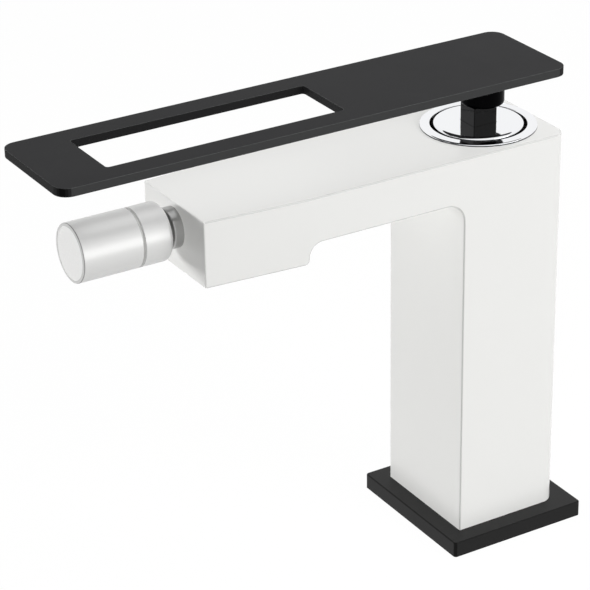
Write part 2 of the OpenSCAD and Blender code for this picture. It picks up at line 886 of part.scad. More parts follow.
// Round boss under the lever with a square socket and a tapped hole at the rear
module lever_boss() {
    color([0.09, 0.09, 0.1])
        difference() {
            union() {
                translate([0, boss_offset, lever_z])
                    mirror([0, 0, 1])
                        rimmed_disc(boss_d / 2, boss_h, boss_edge_r);
                upright(0, boss_offset, tenon_d, lever_z - cut, lever_z + tenon_h);
            }
            translate([0, 0, boss_z - cut])
                linear_extrude(height = socket_h + cut)
                    square(stem_side + 2 * seat_gap, center = true);
            translate([0, 0, grub_z])
                rotate([-90, 0, 0])
                    cylinder(d = grub_d + 2 * seat_gap, h = boss_d);
        }
}

// Socket set screw that holds the boss on the spindle
module lever_grub_screw() {
    grub_len = boss_d / 2 + boss_offset - stem_side / 2 - grub_inset;
    color([0.3, 0.3, 0.32])
        translate([0, stem_side / 2 + seat_gap / 2, grub_z])
            rotate([-90, 0, 0])
                difference() {
                    cylinder(d = grub_d, h = grub_len);
                    translate([0, 0, grub_len / 2])
                        cylinder(d = grub_d / 2, h = grub_len, $fn = 6);
                }
}

// Flat lever plate with its long rectangular slot
module lever_plate() {
    color([0.22, 0.22, 0.23])
        difference() {
            intersection() {
                long_bar(lever_w, lever_z, lever_z + lever_t, -lever_front, lever_rear, lever_edge_r);
                translate([0, lever_mid_y, lever_z - cut])
                    linear_extrude(height = lever_t + 2 * cut)
                        rounded_rect(lever_w, lever_len, lever_corner_r);
            }
            translate([0, slot_mid_y, lever_z - cut])
                linear_extrude(height = lever_t + 2 * cut)
                    rounded_rect(slot_w, slot_len, slot_corner_r);
            upright(0, boss_offset, tenon_d + 2 * seat_gap, lever_z - cut, lever_z + tenon_h + seat_gap);
        }
}

// Stem: threaded root, rounded flange, neck and ball with a water bore
module ball_stem() {
    color([0.78, 0.79, 0.8])
        on_spout()
            difference() {
                union() {
                    translate([0, 0, -stem_thread_h + cut])
                        cylinder(d = stem_thread_d - 2 * seat_gap, h = stem_thread_h);
                    rimmed_disc(flange_d / 2, flange_t, flange_rim_r);
                    cylinder(d = neck_d, h = ball_out);
                    intersection() {
                        translate([0, 0, ball_out])
                            sphere(d = ball_d);
                        cylinder(d = 2 * ball_d, h = ball_out + ball_cut);
                    }
                }
                translate([0, 0, -stem_thread_h])
                    cylinder(d = stem_bore_d, h = stem_thread_h + ball_out + ball_d);
                difference() {
                    translate([0, 0, -cut])
                        cylinder(r = stem_seal_r + seat_gap, h = stem_seal_t + cut);
                    translate([0, 0, -2 * cut])
                        cylinder(d = stem_thread_d - 2 * seat_gap, h = long);
                }
                translate([0, 0, ball_out + ball_ring_out])
                    rotate_extrude()
                        translate([ball_ring_r, 0])
                            circle(ball_ring_section + run_fit);
            }
}

// Rubber ring between the stem's flange and the face of the arm
module stem_seal() {
    color([0.08, 0.08, 0.08])
        on_spout()
            difference() {
                cylinder(r = stem_seal_r, h = stem_seal_t);
                translate([0, 0, -cut])
                    cylinder(d = stem_thread_d, h = stem_seal_t + 2 * cut);
            }
}

// Rubber ring in the groove of the ball
module ball_o_ring() {
    color([0.08, 0.08, 0.08])
        on_spout()
            translate([0, 0, ball_out + ball_ring_out])
                rotate_extrude()
                    translate([ball_ring_r, 0])
                        circle(ball_ring_section);
}

// Spherical space around the ball
module ball_space() {
    translate([0, 0, ball_out])
        sphere(r = seat_r);
}

// Swivel collar that grips the ball from behind
module swivel_socket() {
    lip_r = sqrt(seat_r * seat_r - ball_lip * ball_lip);
    flare_len = ball_out - ball_lip - socket_gap + cut;
    flare_r = lip_r + flare_len * tan(swivel_max + swivel_spare);
    color([0.86, 0.86, 0.87])
        on_spout()
            difference() {
                translate([0, 0, socket_front])
                    mirror([0, 0, 1])
                        rimmed_disc(aerator_d / 2, socket_len, socket_edge_r);
                ball_space();
                translate([0, 0, spigot_start - 2 * seat_gap])
                    cylinder(r = thread_r + seat_gap, h = long);
                translate([0, 0, socket_gap - cut])
                    cylinder(r1 = flare_r, r2 = lip_r, h = flare_len);
            }
}

// Plastic seat in front of the ball
module ball_seat() {
    start = spigot_start + 2 * seat_gap;
    color([0.93, 0.93, 0.9])
        on_spout()
            difference() {
                translate([0, 0, start])
                    cylinder(r = seat_ring_r, h = seat_ring_end - start);
                ball_space();
                translate([0, 0, start - cut])
                    cylinder(r = seat_ring_bore_r, h = long);
            }
}

// Front sleeve of the aerator, screwed into the swivel collar
module aerator_sleeve() {
    half = aerator_d / 2;
    color([0.86, 0.86, 0.87])
        on_spout()
            difference() {
                union() {
                    translate([0, 0, spigot_start])
                        cylinder(r = thread_r, h = sleeve_start - spigot_start + cut);
                    translate([0, 0, sleeve_start])
                        cylinder(r = half, h = sleeve_len - mouth_chamfer);
                    translate([0, 0, sleeve_end - mouth_chamfer])
                        cylinder(r1 = half, r2 = half - mouth_chamfer, h = mouth_chamfer);
                }
                translate([0, 0, spigot_start - cut])
                    cylinder(r = seat_ring_r + seat_gap, h = seat_ring_end - spigot_start + cut);
                translate([0, 0, seat_ring_end - cut])
                    cylinder(r = throat_r, h = long);
                translate([0, 0, washer_start])
                    cylinder(r = insert_r, h = long);
            }
}

// Flat rubber washer behind the stream insert
module aerator_washer() {
    color([0.15, 0.15, 0.15])
        on_spout()
            translate([0, 0, washer_start])
                difference() {
                    cylinder(r = insert_r - seat_gap, h = washer_t);
                    translate([0, 0, -cut])
                        cylinder(r = washer_bore_r, h = washer_t + 2 * cut);
                }
}

// Stream insert: cup with a ring of jet holes
module aerator_cage() {
    color([0.9, 0.9, 0.92])
        on_spout()
            translate([0, 0, cage_start])
                difference() {
                    cylinder(r = insert_r - seat_gap, h = cage_len);
                    translate([0, 0, cage_floor_t])
                        cylinder(r = insert_r - cage_wall, h = cage_len);
                    for (i = [0 : jet_count - 1])
                        rotate([0, 0, i * 360 / jet_count])
                            translate([jet_ring_r, 0, -cut])
                                cylinder(d = jet_d, h = cage_floor_t + 2 * cut);
                }
}

// Outlet face with rings of fine holes
module aerator_grid() {
    grid_end = sleeve_end - grid_inset;
    ring_step = (insert_r - grid_rim) / grid_rings;
    color([0.88, 0.88, 0.88])
        on_spout()
            difference() {
                translate([0, 0, cage_end])
                    cylinder(r = insert_r - seat_gap, h = grid_end - cage_end);
                translate([0, 0, cage_end - cut])
                    cylinder(r = insert_r - cage_wall, h = grid_end - cage_end - grid_t + cut);
                translate([0, 0, cage_end])
                    cylinder(d = grid_hole_d, h = long);
                for (ring = [1 : grid_rings])
                    for (i = [0 : 6 * ring - 1])
                        rotate([0, 0, i * 60 / ring])
                            translate([ring * ring_step, 0, cage_end])
                                cylinder(d = grid_hole_d, h = long);
            }
}

body();
base_plate();
base_gasket();
cartridge_base();
port_seals();
cartridge_housing();
fixed_disc();
moving_disc();
disc_carrier();
spindle_guide();
spindle_pin();
spindle();
spindle_sleeve();
cover_disc();
retaining_nut();
trim_ring();
lever_boss();
lever_grub_screw();
lever_plate();
ball_stem();
stem_seal();
ball_o_ring();
swivel_socket();
ball_seat();
aerator_sleeve();
aerator_washer();
aerator_cage();
aerator_grid();
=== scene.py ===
"""Looks of a deck-mounted bidet mixer: casting, foot plate, lever, trim and swivel aerator."""

import logging
import math
from collections.abc import Callable, Iterable
from dataclasses import dataclass
from enum import Enum

import bmesh
import bpy
from mathutils import Matrix, Vector


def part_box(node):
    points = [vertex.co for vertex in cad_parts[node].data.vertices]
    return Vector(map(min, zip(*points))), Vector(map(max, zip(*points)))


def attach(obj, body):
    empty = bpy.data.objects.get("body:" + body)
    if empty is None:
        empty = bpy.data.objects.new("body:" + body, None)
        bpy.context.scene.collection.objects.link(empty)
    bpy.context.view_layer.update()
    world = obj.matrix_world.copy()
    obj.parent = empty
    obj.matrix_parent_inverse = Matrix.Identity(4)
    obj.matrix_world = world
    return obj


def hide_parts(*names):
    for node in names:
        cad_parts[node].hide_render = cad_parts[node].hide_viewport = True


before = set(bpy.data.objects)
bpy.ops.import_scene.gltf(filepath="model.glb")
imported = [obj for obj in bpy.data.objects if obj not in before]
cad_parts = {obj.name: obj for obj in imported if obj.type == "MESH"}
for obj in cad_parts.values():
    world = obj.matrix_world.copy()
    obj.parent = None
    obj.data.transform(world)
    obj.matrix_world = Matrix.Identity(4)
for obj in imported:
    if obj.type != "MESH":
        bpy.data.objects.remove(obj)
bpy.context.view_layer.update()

LOG = logging.getLogger("mixer")
MM = 0.001
Point = tuple[float, float]
Colour = tuple[float, float, float, float]
Edges = list[bmesh.types.BMEdge]
WHITE: Colour = (1.0, 1.0, 1.0, 1.0)
UP = Vector((0.0, 0.0, 1.0))
OUTWARD = Vector((0.0, -1.0, 0.0))

# Face layers of painted light and shade: a line along edges, painted shade on most pieces and a
# painted highlight on the lever, and painted shade and dark reflection on corners, sides and
# hollows
EDGE = "painted_edge_shade_and_highlight"
PAINTED_SHADE = "painted_shade"
# Size of the slow drift in each finish, and the part of its range that the gloss follows
DRIFT_MM = 40.0
DRIFT_LOW, DRIFT_HIGH = 0.2, 0.8
# Turning marks run round the spout axis, so their noise is drawn out across it
TURNING_STRETCH = 0.12

# Segments of a full turn, a fillet of the casting, an upright corner, a turned rim,
# a small edge, the foot plate's rim, one side of the ball and a hole of the outlet face
ROUND_STEPS = 128
FILLET_STEPS = 12
CORNER_STEPS = 8
TURNED_STEPS = 5
EDGE_STEPS = 4
RIM_STEPS = 4
BALL_STEPS = 12
HOLE_STEPS = 12

# Two points nearer than this are one place; edges shorter than these in metres go
SAME_PLACE_MM = 0.01
MERGE_M = 1e-6
VANISH_M = 1e-7
# Upright edges of the column are longer than this
TALL_MM = 100.0
# The spout axis lies this far above the lowest point of the ball stem, its flange's rim
STEM_FLANGE_R = 7.2
# Turned rims of a smaller radius take the painted dark line along edges
THIN_RIM = 1.0
# Parts of a face normal: a turned face looks along its axis, a face is upright, turned
# at a corner (from here, fully after the span), looks straight out, or is level
FACING_OUT = 0.6
UPRIGHT = 0.1
TURNED_FROM = 0.2
TURNED_SPAN = 0.4
STRAIGHT_OUT = 0.9
LEVEL = 0.99
# Angles in degrees from which an edge is shaded sharp, and from which the lever's is rounded
SHARP_DEG = 40.0
CUT_DEG = 60.0
# Point of the object that the lamps look at, in metres
AIM = Vector((0.0, -0.05, 0.1))


def mm(*values: float) -> Vector:
    """Returns a point or size given in millimetres as a vector in metres."""
    return Vector(values) * MM


def on_axis(z: float) -> Vector:
    """Returns the point of the column axis at a height, in millimetres."""
    # The way through metres rounds it as all other points are rounded
    return mm(0.0, 0.0, z) / MM


def linear(hex_colour: str) -> Colour:
    """Turns an sRGB hex colour into linear values.

    Args:
        hex_colour: Colour such as "#F2F1EE".

    Returns:
        The linear red, green and blue values, with an alpha of 1.
    """
    parts = [int(hex_colour[i : i + 2], 16) / 255 for i in (1, 3, 5)]
    lin = [c / 12.92 if c <= 0.04045 else ((c + 0.055) / 1.055) ** 2.4 for c in parts]
    return (lin[0], lin[1], lin[2], 1.0)


def add_node(
    tree: bpy.types.NodeTree,
    kind: str,
    settings: dict[str, object] | None = None,
    inputs: dict[str | int, object] | None = None,
) -> bpy.types.Node:
    """Adds a shader node with its settings, socket values and links.

    Args:
        tree: Node tree that takes the node.
        kind: Node type, such as "ShaderNodeTexNoise".
        settings: Attributes of the node itself.
        inputs: Values or output sockets for the node's inputs, by name or index.

    Returns:
        The new node.
    """
    node = tree.nodes.new(kind)
    for key, value in (settings or {}).items():
        setattr(node, key, value)
    for key, value in (inputs or {}).items():
        socket = node.inputs[key]
        if isinstance(value, bpy.types.NodeSocket):
            tree.links.new(value, socket)
        else:
            socket.default_value = value
    return node


def mix_colours(
    tree: bpy.types.NodeTree, share: bpy.types.NodeSocket, first: object, second: object
) -> bpy.types.NodeSocket:
    """Adds a node that mixes two colours.

    Args:
        tree: Node tree that takes the node.
        share: Socket with the second colour's share.
        first: First colour, or the socket that gives it.
        second: Second colour, or the socket that gives it.

    Returns:
        The socket with the mixed colour.
    """
    inputs = {"Factor": share, 6: first, 7: second}
    return add_node(tree, "ShaderNodeMix", {"data_type": "RGBA"}, inputs).outputs[2]


class Grain(Enum):
    """Pattern of a finish's surface."""

    EVEN = "even"
    TURNED = "turned"


@dataclass(frozen=True)
class Finish:
    """Finish of a surface: colour, gloss and the fine relief that its making leaves.

    Attributes:
        name: Material name in a maker's words.
        colour: Base colour as sRGB hex.
        metallic: 1 for bare or plated metal, else 0.
        roughness: Mean roughness.
        roughness_swing: How far roughness wanders up and down.
        specular: Specular level; metals keep the usual one.
        grain_mm: Size of the surface pattern in millimetres.
        relief_mm: Height of the surface pattern in millimetres.
        shade_swing: How far the colour darkens in the pattern, from 0 to 1.
        coat: Strength of a clear layer on top.
        coat_roughness: Roughness of the clear layer.
        edge_colour: Painted shade or painted highlight along small rounded edges, or none.
        shade_colour: Painted shade on tight upright corners and other marked faces, or none.
        grain: Even pattern, or turning marks round the spout axis.
    """

    name: str
    colour: str
    metallic: float = 0.0
    roughness: float = 0.4
    roughness_swing: float = 0.05
    specular: float = 0.5
    grain_mm: float = 1.0
    relief_mm: float = 0.01
    shade_swing: float = 0.03
    coat: float = 0.0
    coat_roughness: float = 0.05
    edge_colour: str | None = None
    shade_colour: str | None = None
    grain: Grain = Grain.EVEN

    def build(self) -> bpy.types.Material:
        """Builds the procedural material, or returns the one that exists.

        Returns:
            The material.
        """
        existing = bpy.data.materials.get(self.name)
        if existing:
            return existing
        material = bpy.data.materials.new(self.name)
        material.use_nodes = True
        tree = material.node_tree
        tree.nodes.clear()
        place = add_node(tree, "ShaderNodeTexCoord").outputs["Object"]
        drift = add_node(
            tree,
            "ShaderNodeTexNoise",
            inputs={
                "Vector": place, "Scale": 1 / (DRIFT_MM * MM), "Detail": 3.0, "Roughness": 0.6,
            },
        ).outputs["Fac"]
        base = linear(self.colour)
        dark = tuple(c * (1 - self.shade_swing) for c in base[:3]) + (1.0,)
        shade = mix_colours(tree, drift, dark, base)
        # The face layers mix painted edge shading and painted shade over the colour
        for layer, colour in ((EDGE, self.edge_colour), (PAINTED_SHADE, self.shade_colour)):
            if colour:
                share = add_node(tree, "ShaderNodeAttribute", {"attribute_name": layer})
                shade = mix_colours(tree, share.outputs["Fac"], shade, linear(colour))
        rough = add_node(
            tree,
            "ShaderNodeMapRange",
            inputs={
                "Value": drift,
                "From Min": DRIFT_LOW,
                "From Max": DRIFT_HIGH,
                "To Min": max(self.roughness - self.roughness_swing, 0.0),
                "To Max": self.roughness + self.roughness_swing,
            },
        ).outputs["Result"]
        relief = add_node(
            tree,
            "ShaderNodeBump",
            inputs={
                "Height": self._pattern(tree, place),
                "Strength": 1.0,
                "Distance": self.relief_mm * MM,
            },
        ).outputs["Normal"]
        shader = add_node(
            tree,
            "ShaderNodeBsdfPrincipled",
            inputs={
                "Base Color": shade,
                "Metallic": self.metallic,
                "Roughness": rough,
                "Normal": relief,
                "Specular IOR Level": self.specular,
                "Coat Weight": self.coat,
                "Coat Roughness": self.coat_roughness,
            },
        )
        add_node(tree, "ShaderNodeOutputMaterial", inputs={"Surface": shader.outputs["BSDF"]})
        return material

    def _pattern(
        self, tree: bpy.types.NodeTree, place: bpy.types.NodeSocket
    ) -> bpy.types.NodeSocket:
        """Adds the pattern that gives the relief.

        Args:
            tree: Node tree of the material.
            place: Socket with the object coordinates.

        Returns:
            The socket with the pattern's height.
        """
        if self.grain is Grain.TURNED:
            stretch = {0: place, 1: (TURNING_STRETCH, 1.0, TURNING_STRETCH)}
            place = add_node(
                tree, "ShaderNodeVectorMath", {"operation": "MULTIPLY"}, stretch
            ).outputs["Vector"]
        return add_node(
            tree,
            "ShaderNodeTexNoise",
            inputs={"Vector": place, "Scale": 1 / (self.grain_mm * MM), "Detail": 2.0},
        ).outputs["Fac"]


# Enamel baked on a brass casting: even white gloss with a faint orange peel of 1.6 mm,
# and a pale grey line of painted shade along the edges
WHITE_ENAMEL = Finish(
    "enamel_white_baked", "#F3F3F1", roughness=0.26, roughness_swing=0.01, specular=0.25,
    grain_mm=1.6, relief_mm=0.004, shade_swing=0.012, coat=0.08, coat_roughness=0.1,
    edge_colour="#D8D8D6",
)
# Powder coat on the stamped lever: flat charcoal, with a painted highlight along the edges and
# long sides, and painted black reflection and shade round the corners, in the slot and on the ends
LEVER_COAT = Finish(
    "powder_coat_charcoal", "#2B2B2C", roughness=0.45, roughness_swing=0.04, specular=0.03,
    grain_mm=0.9, relief_mm=0.006, shade_swing=0.05, edge_colour="#565757",
    shade_colour="#0B0B0B",
)
# Powder coat on the foot plate: a shade darker, with painted shade: a dark line along its
# upper rim, half strength on its sides and near black round its corners
PLATE_COAT = Finish(
    "powder_coat_black", "#242424", roughness=0.42, roughness_swing=0.05, specular=0.12,
    grain_mm=0.9, relief_mm=0.006, shade_swing=0.12, edge_colour="#141414",
    shade_colour="#030303",
)
# Black lacquer on turned brass: deep wet gloss with clear reflections
BLACK_LACQUER = Finish(
    "lacquer_black_polished", "#040404", roughness=0.12, roughness_swing=0.02, specular=0.16,
    grain_mm=1.2, relief_mm=0.002, shade_swing=0.1,
)
# Black lacquer on the hub, a second deeper coat: almost no reflection
DEEP_LACQUER = Finish(
    "lacquer_black_deep", "#020203", roughness=0.1, roughness_swing=0.02, specular=0.02,
    grain_mm=1.2, relief_mm=0.002, shade_swing=0.1,
)
# Chrome plate, polished: mirror with the faintest haze, and a painted shadow under the ring's rim
# where it seats on the enamel
CHROME = Finish(
    "chrome_plate_polished", "#F3F4F6", metallic=1.0, roughness=0.06, roughness_swing=0.02,
    grain_mm=3.0, relief_mm=0.0006, shade_swing=0.02, shade_colour="#3A3D40",
)
# Nickel plate, bright, on the ball stem: half mirror, greyer than the satin parts
BRIGHT_NICKEL = Finish(
    "nickel_plate_bright", "#B0B0AF", metallic=1.0, roughness=0.34, grain_mm=2.0, relief_mm=0.001,
)
# Satin nickel plate on turned brass: broad soft highlight, hairline turning marks and
# a grey line of painted shade along the thin rims
SATIN_NICKEL = Finish(
    "nickel_plate_satin", "#D6D6D5", metallic=0.35, roughness=0.44, roughness_swing=0.02,
    grain_mm=0.5, relief_mm=0.002, shade_swing=0.03, grain=Grain.TURNED,
    edge_colour="#8A8A8A",
)
# Acetal, moulded: matte off-white
ACETAL = Finish("acetal_white_moulded", "#E4E4E0", roughness=0.42, grain_mm=0.8, relief_mm=0.005)
# Acetal, moulded, dyed: the carrier
ACETAL_GREY = Finish("acetal_grey_moulded", "#4A5157", roughness=0.45, grain_mm=0.8)
# Polymer outlet face, moulded: pale and plain, almost without gloss
OUTLET_POLYMER = Finish(
    "polymer_pale_moulded", "#FCFCFB", roughness=0.4, grain_mm=0.8, relief_mm=0.003,
    shade_swing=0.01,
)
# Brass, turned: warm and satin
BRASS = Finish(
    "brass_turned", "#B39A63", metallic=1.0, roughness=0.35, grain_mm=0.6, relief_mm=0.004,
)
# Brass on the nut under the bezel, dull and dark: its colour paints the shade in the gap above it
BRASS_SHADED = Finish(
    "brass_painted_shade", "#1E1C19", metallic=1.0, roughness=0.5, grain_mm=0.6, relief_mm=0.004,
)
# Steel, ground: pins and set screw
STEEL = Finish("steel_ground", "#A9AAAC", metallic=1.0, roughness=0.28, grain_mm=0.5)
# Nitrile rubber, moulded: dull black
RUBBER = Finish("nitrile_rubber_moulded", "#1C1C1C", roughness=0.62, grain_mm=0.7)
# Alumina, lapped: ivory and smooth
ALUMINA = Finish("alumina_lapped", "#EFEAE0", roughness=0.18, grain_mm=1.0, relief_mm=0.001)


class Shell:
    """Mesh of one piece while it is being modelled, in millimetres of the shared frame."""

    def __init__(self) -> None:
        """Starts an empty mesh with the two layers of painted edge shading and painted shade."""
        self.bm = bmesh.new()
        self.edge_layer = self.bm.faces.layers.float.new(EDGE)
        self.shade_layer = self.bm.faces.layers.float.new(PAINTED_SHADE)

    def rectangle(
        self, width: float, depth: float, z: float, radius: float = 0.0, mid_y: float = 0.0
    ) -> Edges:
        """Adds a level rectangle of edges with rounded corners.

        Args:
            width: Size along X.
            depth: Size along Y.
            z: Height.
            radius: Radius of the corners.
            mid_y: Y of the middle.

        Returns:
            The loop's edges.
        """
        before = set(self.bm.edges)
        corners = [(-1, -1), (1, -1), (1, 1), (-1, 1)]
        verts = [
            self.bm.verts.new(mm(x * width / 2, mid_y + y * depth / 2, z)) for x, y in corners
        ]
        self.bm.faces.new(verts)
        if radius:
            self.round_corners(verts, radius, CORNER_STEPS)
        edges = [e for e in self.bm.edges if e not in before]
        faces = list({f for e in edges for f in e.link_faces})
        bmesh.ops.delete(self.bm, geom=faces, context="FACES_ONLY")
        return edges

    def circle(
        self, radius: float, centre: Vector, axis: Vector = UP, steps: int = ROUND_STEPS
    ) -> Edges:
        """Adds a circle of edges.

        Args:
            radius: Radius of the circle.
            centre: Centre in millimetres.
            axis: Direction that the circle faces.
            steps: Number of edges.

        Returns:
            The loop's edges.
        """
        turn = UP.rotation_difference(axis).to_matrix().to_4x4()
        made = bmesh.ops.create_circle(
            self.bm, cap_ends=False, segments=steps, radius=radius * MM,
            matrix=Matrix.Translation(centre * MM) @ turn,
        )
        return list({e for v in made["verts"] for e in v.link_edges})

    def round_corners(self, verts: list[bmesh.types.BMVert], radius: float, steps: int) -> None:
        """Rounds right-angled corners of a flat outline.

        Args:
            verts: The corners.
            radius: Radius in millimetres.
            steps: Segments across each round.
        """
        bmesh.ops.bevel(
            self.bm, geom=verts, offset=radius * MM, offset_type="OFFSET", affect="VERTICES",
            segments=steps, profile=0.5, material=-1,
        )

    def skin(self, loops: list[Edges], closed: bool = True) -> None:
        """Joins each loop of edges to the next with faces.

        Args:
            loops: Loops in order; neighbours in one plane lie inside each other.
            closed: Whether the last loop joins the first.
        """
        partners = loops[1:] + loops[:1] if closed else loops[1:]
        for first, second in zip(loops, partners):
            heights = {round(v.co.z / SAME_PLACE_MM / MM) for e in first + second for v in e.verts}
            both_round = len(first) == len(second) == ROUND_STEPS
            if both_round or (len(heights) > 1 and len(first) == len(second)):
                bmesh.ops.bridge_loops(self.bm, edges=first + second)
            else:
                bmesh.ops.triangle_fill(
                    self.bm, edges=first + second, use_beauty=True, use_dissolve=False
                )

    def bore(self, plane: Callable[[Vector], bool], axis: Vector, steps: list[Point]) -> None:
        """Opens a blind round bore in the largest flat face of a plane.

        Args:
            plane: Test of a point in millimetres that says whether it is in the plane.
            axis: Direction that the face looks in.
            steps: Radius and depth of each ring below the face, from the mouth inwards.
        """
        flat = [f for f in self.bm.faces if all(plane(v.co / MM) for v in f.verts)]
        face = max(flat, key=lambda f: f.calc_area())
        rim = list(face.edges)
        centre = self.bore_centre(face.calc_center_bounds() / MM, axis)
        bmesh.ops.delete(self.bm, geom=[face], context="FACES_ONLY")
        loops = [self.circle(r, centre - axis * depth, axis) for r, depth in steps]
        self.skin([rim, *loops], closed=False)
        bmesh.ops.contextual_create(self.bm, geom=loops[-1])

    @staticmethod
    def bore_centre(middle: Vector, axis: Vector) -> Vector:
        """Finds the point of a face that lies on the column or spout axis.

        Args:
            middle: Middle of the face in millimetres.
            axis: Direction that the face looks in.

        Returns:
            The point in millimetres.
        """
        if axis is OUTWARD:
            return Vector((0.0, middle.y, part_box("ball_stem")[0].z / MM + STEM_FLANGE_R))
        return Vector((0.0, 0.0, middle.z))

    def sharp(self, degrees: float = SHARP_DEG) -> Edges:
        """Finds the edges whose two faces meet at more than an angle.

        Args:
            degrees: The angle.

        Returns:
            The edges.
        """
        limit = math.radians(degrees)
        self.bm.normal_update()
        pairs = [e for e in self.bm.edges if len(e.link_faces) == 2]
        return [e for e in pairs if e.calc_face_angle(0.0) > limit]

    def soften(
        self, edges: Iterable[bmesh.types.BMEdge], radius: float, segments: int,
        layer: bmesh.types.BMLayerItem | None = None,
    ) -> None:
        """Rounds edges and marks the new faces in a layer of painted edge shading.

        Args:
            edges: Edges to round.
            radius: Radius in millimetres.
            segments: Segments across the round.
            layer: Layer that takes a 1 on each new face, or none.
        """
        made = bmesh.ops.bevel(
            self.bm, geom=list(edges), offset=radius * MM, offset_type="OFFSET",
            affect="EDGES", segments=segments, profile=0.5, material=-1, clamp_overlap=True,
        )
        if layer is not None:
            for face in made["faces"]:
                face[layer] = 1.0

    def tidy(self) -> None:
        """Merges doubles and turns all faces outwards."""
        bmesh.ops.remove_doubles(self.bm, verts=self.bm.verts, dist=MERGE_M)
        bmesh.ops.dissolve_degenerate(self.bm, edges=self.bm.edges, dist=VANISH_M)
        bmesh.ops.recalc_face_normals(self.bm, faces=self.bm.faces)

    def piece(
        self, name: str, look: Finish, body: str, slot: str, nodes: Iterable[str]
    ) -> bpy.types.Object:
        """Turns the shell into a finished piece that rides on a body.

        Args:
            name: Object name.
            look: Finish of the piece.
            body: Body that carries it.
            slot: Material slot of the record that it takes; not used.
            nodes: Solids that it stands for.

        Returns:
            The new object.
        """
        self.tidy()
        open_edges = sum(1 for e in self.bm.edges if len(e.link_faces) != 2)
        for face in self.bm.faces:
            face.smooth = True
        for edge in self.sharp():
            edge.smooth = False
        mesh = bpy.data.meshes.new(name)
        self.bm.to_mesh(mesh)
        self.bm.free()
        piece = bpy.data.objects.new(name, mesh)
        bpy.context.scene.collection.objects.link(piece)
        mesh.materials.append(look.build())
        weighted = piece.modifiers.new("weighted_normals", "WEIGHTED_NORMAL")
        weighted.keep_sharp = True
        weighted.weight = 100
        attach(piece, body)
        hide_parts(*nodes)
        LOG.info("%s: %d faces, %d open edges", name, len(mesh.polygons), open_edges)
        return piece


class Turned(Shell):
    """Shell that is turned round an axis."""

    def __init__(
        self, profile: list[tuple[float, float, float]], centre: Vector, axis: Vector
    ) -> None:
        """Turns a profile and rounds its rims.

        Args:
            profile: Radius, distance along the axis and rim radius of each corner.
            centre: Point on the axis at distance 0, in millimetres.
            axis: Direction of the axis.
        """
        super().__init__()
        turn = UP.rotation_difference(axis).to_matrix().to_4x4()
        self.place = Matrix.Translation(centre * MM) @ turn
        verts = [self.bm.verts.new(self.place @ mm(r, 0.0, h)) for r, h, _ in profile]
        edges = [self.bm.edges.new(pair) for pair in zip(verts, verts[1:])]
        if profile[0][0] > 0:
            edges.append(self.bm.edges.new((verts[-1], verts[0])))
        bmesh.ops.spin(
            self.bm, geom=verts + edges, cent=centre * MM, axis=axis, angle=2 * math.pi,
            steps=ROUND_STEPS, use_merge=True, use_duplicate=False,
        )
        self.tidy()
        for r, h, rim in profile:
            if rim:
                layer = self.edge_layer if rim < THIN_RIM else None
                self.soften(self.ring(r, h), rim, TURNED_STEPS, layer)
        # The painted dark line stops where a rim turns into a face that looks along the axis
        for face in self.bm.faces:
            if abs(face.normal.dot(axis)) > FACING_OUT:
                face[self.edge_layer] = 0.0

    def ring(self, radius: float, height: float) -> Edges:
        """Finds the edges of the ring at a radius and distance along the axis.

        Args:
            radius: Radius in millimetres.
            height: Distance along the axis in millimetres.

        Returns:
            The ring's edges.
        """
        back = self.place.inverted()

        def there(vert: bmesh.types.BMVert) -> bool:
            """Tells whether a vertex lies on the ring.

            Args:
                vert: The vertex.

            Returns:
                Whether it does.
            """
            p = back @ vert.co / MM
            return (
                abs(math.hypot(p.x, p.y) - radius) < SAME_PLACE_MM
                and abs(p.z - height) < SAME_PLACE_MM
            )

        return [e for e in self.bm.edges if there(e.verts[0]) and there(e.verts[1])]


